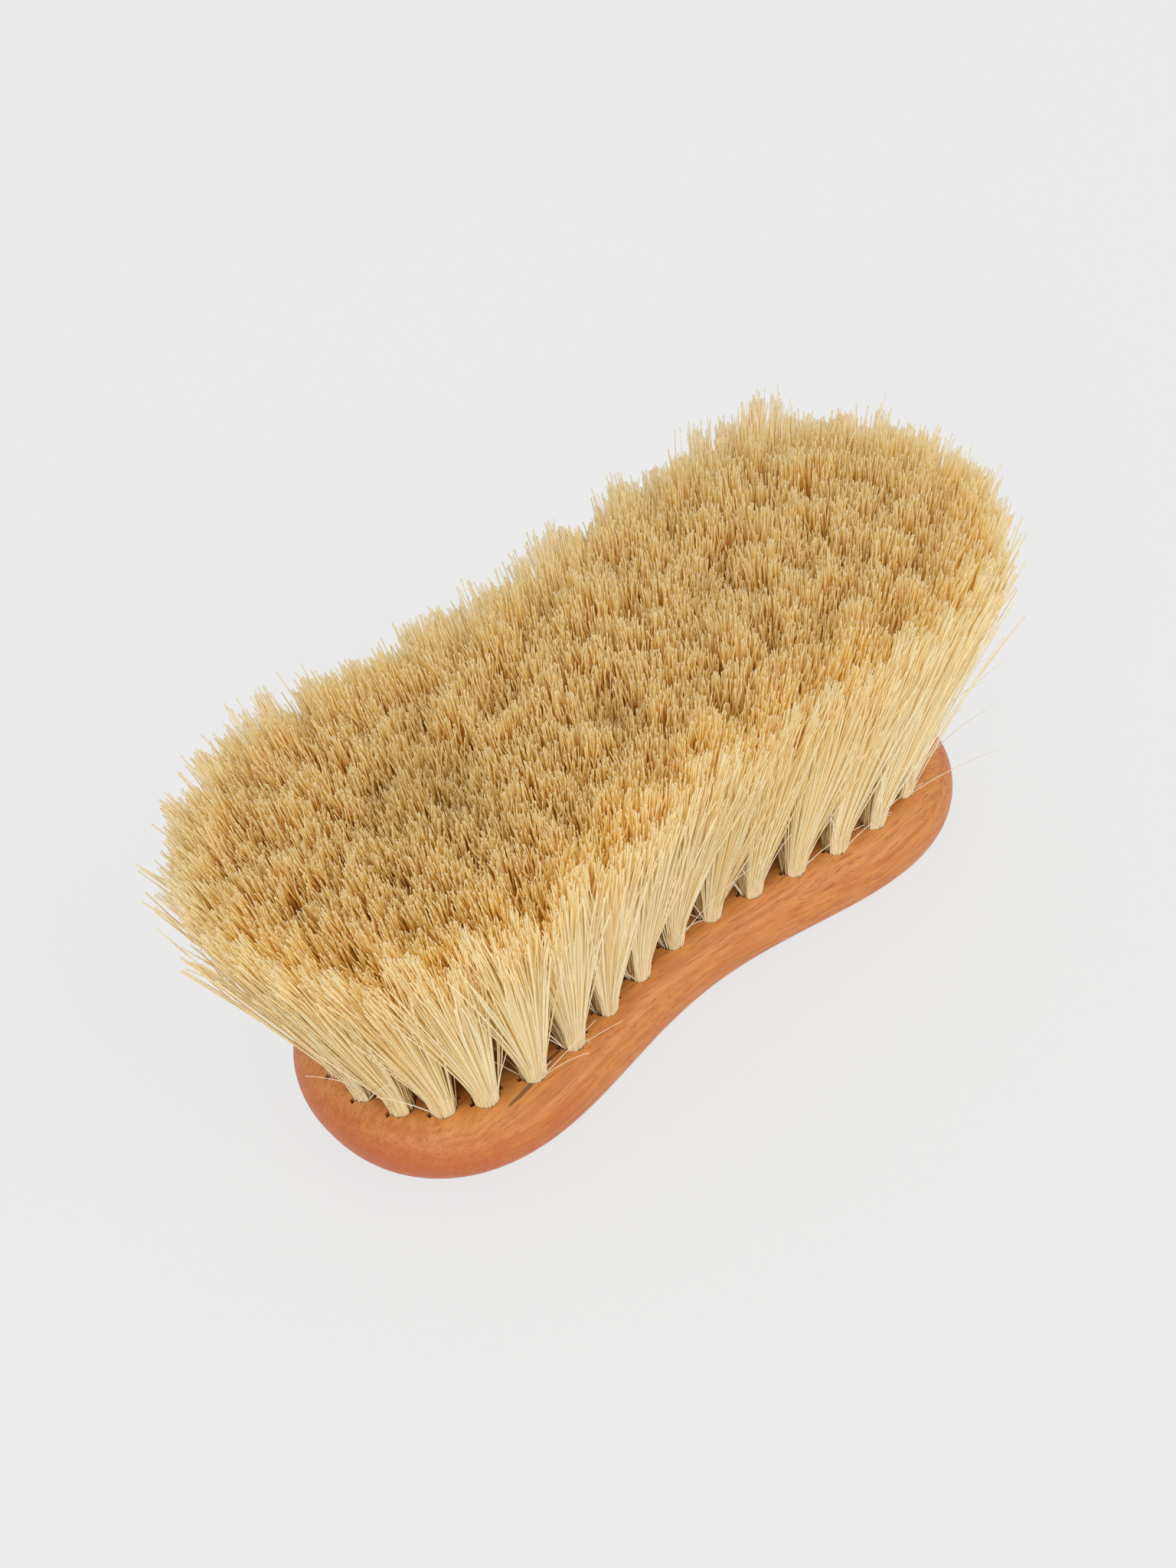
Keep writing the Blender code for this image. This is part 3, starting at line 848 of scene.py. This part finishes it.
def studio_floor(stage):
    """Pale floor, evened out for the camera and for gloss, with part of its shadow kept."""
    made, tree, shader = new_material("Studio floor")
    own, glow = ((shade, shade, shade, 1) for shade in (stage.floor, stage.glow))
    shader.inputs["Base Color"].default_value = own
    shader.inputs["Roughness"].default_value = 0.9
    shader.inputs["Specular IOR Level"].default_value = 0.0
    even = add(tree, "ShaderNodeEmission", {"Color": glow, "Strength": 1.0})
    plain = product(tree, plain_rays(tree), 1 - stage.shadow)
    blend = add(tree, "ShaderNodeMixShader", {0: plain, 1: shader.outputs[0], 2: even.outputs[0]})
    tree.links.new(blend.outputs[0], tree.nodes["Material Output"].inputs["Surface"])
    return made


# Operators


class BRUSH_OT_block(bpy.types.Operator):
    """Make the wood block: waisted, with rounded rims and a hole for each tuft"""

    bl_idname = "brush.block"
    bl_label = "Wood block"

    def execute(self, context):
        block = context.scene.brush_block
        around = np.linspace(0, 2 * math.pi, 6000, endpoint=False)
        outline = even_loop(contour(block, around), 480)
        normal = outward(outline)
        # Profile of the rim as (inset, height): a quarter circle below and one above, each of
        # inset r (1 - cos t) and height r sin t, and a narrow flat band inside each.
        radius, turn = block.edge_round, np.linspace(0, math.pi / 2, 19)
        inset, rise = radius * (1 - np.cos(turn)), radius * (1 - np.sin(turn))
        band = radius + np.array((0.0015, 0.0005))
        inset = np.concatenate((band, inset[::-1], inset, band[::-1]))
        height = np.concatenate(((0, 0), rise[::-1], FACE - rise, (FACE, FACE)))
        flat = outline - inset[:, None, None] * normal
        tall = np.broadcast_to(height[:, None, None], (*flat.shape[:2], 1))
        points = np.concatenate((flat, tall), axis=2).reshape(-1, 3)
        rows, columns = len(inset), len(outline)
        caps = np.array((np.arange(columns)[::-1], np.arange(columns) + (rows - 1) * columns))
        mesh = build_mesh("fine_block", points, [band_faces(rows, columns), caps])
        finish = oiled_wood(block)
        piece = add_piece("fine_block", mesh, finish, replaced=("wood_block",))
        self.drill(context, block, piece)
        return {"FINISHED"}

    def drill(self, context, block, piece):
        """Cuts the holes: circles with a kerf on two opposite sides, carried down to depth."""
        radius, half = block.hole_diameter / 2, block.kerf_width / 2
        side = np.linspace(math.asin(half / radius), math.pi - math.asin(half / radius), 15)
        arc = radius * np.column_stack((np.cos(side), np.sin(side)))
        key = np.array(((-1, half), (-1, -half))) * (radius + block.kerf_reach, 1)
        ring = np.vstack((arc, key, -arc, -key)) @ anchor_axes()
        roots = tuft_places()[0]
        past_face = 0.002
        levels = np.array((FACE - block.hole_depth, FACE + past_face))
        flat = (roots[:, None] + ring)[:, None] + np.zeros((1, 2, 1, 1))
        tall = np.broadcast_to(levels[None, :, None, None], (*flat.shape[:3], 1))
        points = np.concatenate((flat, tall), axis=3).reshape(-1, 3)
        base = np.arange(len(roots))[:, None] * 2 * len(ring)
        walls = (band_faces(2, len(ring)).ravel() + base).reshape(-1, 4)
        foot, mouth = np.arange(len(ring))[::-1] + base, np.arange(len(ring)) + len(ring) + base
        mesh = build_mesh("drill", points, [walls, np.vstack((foot, mouth))])
        cutter = bpy.data.objects.new("drill", mesh)
        context.scene.collection.objects.link(cutter)
        holes = piece.modifiers.new("holes", "BOOLEAN")
        holes.operation, holes.solver, holes.object = "DIFFERENCE", "EXACT", cutter
        seen = piece.evaluated_get(context.evaluated_depsgraph_get())
        drilled = bpy.data.meshes.new_from_object(seen)
        if len(drilled.polygons) < len(roots):
            raise RuntimeError("the drilled block came out empty")
        piece.modifiers.clear()
        whole, piece.data = piece.data, drilled
        bpy.data.objects.remove(cutter)
        for spent in (whole, mesh):
            bpy.data.meshes.remove(spent)
        drilled.name = "fine_block"
        drilled.shade_smooth()
        drilled.set_sharp_from_angle(angle=math.radians(35))


def anchor_axes():
    """Rows: along an anchor and across it. It lies nearly along the block."""
    turn = math.radians(-6)
    return np.array(((math.cos(turn), math.sin(turn)), (-math.sin(turn), math.cos(turn))))


class BRUSH_OT_anchors(bpy.types.Operator):
    """Make the flat wire anchors that hold the tufts at the foot of their holes"""

    bl_idname = "brush.anchors"
    bl_label = "Anchors"

    def execute(self, context):
        # Each is an upright rounded strip: a superellipse of exponent 4 in its cross-section,
        # carried along the anchor and drawn in at both ends.
        block = context.scene.brush_block
        half_width, half_height, bite, above_foot = 0.0004, 0.001, 0.0005, 0.0013
        along = np.array((-1, -0.97, 0.97, 1)) * (block.hole_diameter / 2 + bite)
        size = np.array((0.6, 1, 1, 0.6))
        rows, columns = len(along), 12
        turn = np.linspace(0, 2 * math.pi, columns, endpoint=False)
        cos, sin = (np.sign(v) * np.sqrt(np.abs(v)) for v in (np.cos(turn), np.sin(turn)))
        across = half_width * size[:, None] * cos
        middle = FACE - block.hole_depth + above_foot
        tall = middle + half_height * size[:, None] * sin
        flat = along[:, None, None] * anchor_axes()[0] + across[..., None] * anchor_axes()[1]
        one = np.concatenate((flat, tall[..., None]), axis=2).reshape(-1, 3)
        roots = tuft_places()[0]
        points = one + np.column_stack((roots, np.zeros(len(roots))))[:, None]
        base = np.arange(len(roots))[:, None] * len(one)
        walls = (band_faces(rows, columns)[:, ::-1].ravel() + base).reshape(-1, 4)
        ring = np.arange(columns)
        ends = np.concatenate((ring, (rows - 1) * columns + ring[::-1]))
        ends = (ends + base).reshape(-1, columns)
        mesh = build_mesh("anchors", points.reshape(-1, 3), [walls, ends])
        mesh.shade_smooth()
        mesh.set_sharp_from_angle(angle=math.radians(50))
        add_piece("anchors", mesh, galvanised_wire())
        return {"FINISHED"}


def make_tufts(context, names):
    """Adds the named tufts as pieces, each in place of its CAD node."""
    block, fibre = context.scene.brush_block, context.scene.brush_fibre
    tips, owner, depth = shared_tips(block, fibre)
    finish = bpy.data.materials.get("Plant fibre") or plant_fibre(fibre)
    for name in names:
        mesh = tuft_mesh(TUFTS.index(name), block, fibre, tips, owner, depth)
        add_piece("fine_" + name, mesh, finish, replaced=(name,))


class BRUSH_OT_outer_tufts(bpy.types.Operator):
    """Make the outer ring of tufts, with its loose fibres"""

    bl_idname = "brush.outer_tufts"
    bl_label = "Outer tufts"

    def execute(self, context):
        make_tufts(context, OUTER)
        return {"FINISHED"}


class BRUSH_OT_inner_tufts(bpy.types.Operator):
    """Make the inner ring of tufts and the one in the middle of each lobe"""

    bl_idname = "brush.inner_tufts"
    bl_label = "Inner tufts"

    def execute(self, context):
        make_tufts(context, INNER)
        return {"FINISHED"}


class BRUSH_OT_stage(bpy.types.Operator):
    """Make the floor, the light all round and the two soft lamps"""

    bl_idname = "brush.stage"
    bl_label = "Stage"

    def execute(self, context):
        stage = context.scene.brush_stage
        half, below = 6.0, 0.0001
        corners = np.array(((-1, -1, 0), (1, -1, 0), (1, 1, 0), (-1, 1, 0))) * half
        floor = build_mesh("floor", corners - (0, 0, below), [np.array(((0, 1, 2, 3),))])
        floor = bpy.data.objects.new("floor", floor)
        floor.data.materials.append(studio_floor(stage))
        context.scene.collection.objects.link(floor)

        world = bpy.data.worlds.new("Studio")
        world.use_nodes = True
        context.scene.world = world
        tree = world.node_tree
        extra = product(tree, plain_rays(tree), stage.background - stage.world)
        strength = math_node(tree, "ADD", extra, stage.world)
        background = tree.nodes["Background"]
        background.inputs["Color"].default_value = (1, 1, 1, 1)
        tree.links.new(strength, background.inputs["Strength"])

        lamps = (
            ("left_lamp", stage.left, (-2.2, -1.4, 1.6)),
            ("right_lamp", stage.right, (0.9, -2.4, 1.6)),
        )
        for name, power, place in lamps:
            lamp = bpy.data.lights.new(name, "AREA")
            lamp.shape, lamp.size, lamp.energy = "DISK", 2.4, power
            soft = bpy.data.objects.new(name, lamp)
            soft.location = place
            soft.rotation_euler = (-soft.location).to_track_quat("-Z", "Y").to_euler()
            context.scene.collection.objects.link(soft)
        return {"FINISHED"}


class BRUSH_OT_camera(bpy.types.Operator):
    """Put the camera where the photograph was taken from"""

    bl_idname = "brush.camera"
    bl_label = "Camera"

    def execute(self, context):
        azimuth, height, roll = (math.radians(v) for v in (-34.47, 44.44, -8.83))
        target, distance = Vector((0.01356, 0.03087, FACE)), 0.57881
        right = Vector((math.cos(azimuth), math.sin(azimuth), 0))
        level = math.cos(height)
        back = (math.sin(azimuth) * level, -math.cos(azimuth) * level, math.sin(height))
        back = Vector(back)
        up = back.cross(right)
        x = math.cos(roll) * right + math.sin(roll) * up
        y = -math.sin(roll) * right + math.cos(roll) * up
        camera = bpy.data.objects.new("camera", bpy.data.cameras.new("camera"))
        turn = Matrix((x, y, back)).transposed().to_4x4()
        camera.matrix_world = Matrix.Translation(target + distance * back) @ turn
        camera.data.lens, camera.data.sensor_width = 55.34, 36
        context.scene.collection.objects.link(camera)
        context.scene.camera = camera
        context.scene.view_settings.view_transform = "Standard"
        # Pale fibre passes light on from one to the next many times.
        context.scene.cycles.transparent_max_bounces = 64
        context.scene.cycles.max_bounces = 20
        context.scene.cycles.diffuse_bounces = 16
        return {"FINISHED"}


STEPS = (
    BRUSH_OT_block,
    BRUSH_OT_anchors,
    BRUSH_OT_outer_tufts,
    BRUSH_OT_inner_tufts,
    BRUSH_OT_stage,
    BRUSH_OT_camera,
)
SETTINGS = {
    "brush_block": BlockSettings,
    "brush_fibre": FibreSettings,
    "brush_stage": StageSettings,
}


class BRUSH_PT_panel(bpy.types.Panel):
    """Sizes, colours and steps of the brush"""

    bl_label = "Grooming brush"
    bl_idname = "BRUSH_PT_panel"
    bl_space_type = "VIEW_3D"
    bl_region_type = "UI"
    bl_category = "Grooming brush"

    def draw(self, context):
        for name, kind in SETTINGS.items():
            column = self.layout.column(align=True)
            for key in kind.__annotations__:
                column.prop(getattr(context.scene, name), key)
        for step in STEPS:
            self.layout.operator(step.bl_idname)


def register():
    for kind in (*SETTINGS.values(), *STEPS, BRUSH_PT_panel):
        bpy.utils.register_class(kind)
    for name, kind in SETTINGS.items():
        setattr(bpy.types.Scene, name, PointerProperty(type=kind))


def unregister():
    for name in SETTINGS:
        delattr(bpy.types.Scene, name)
    for kind in (BRUSH_PT_panel, *reversed(STEPS), *reversed(SETTINGS.values())):
        bpy.utils.unregister_class(kind)


def main():
    register()
    bpy.ops.brush.block()
    bpy.ops.brush.anchors()
    bpy.ops.brush.outer_tufts()
    bpy.ops.brush.inner_tufts()
    bpy.ops.brush.stage()
    bpy.ops.brush.camera()


if __name__ == "__main__":
    main()
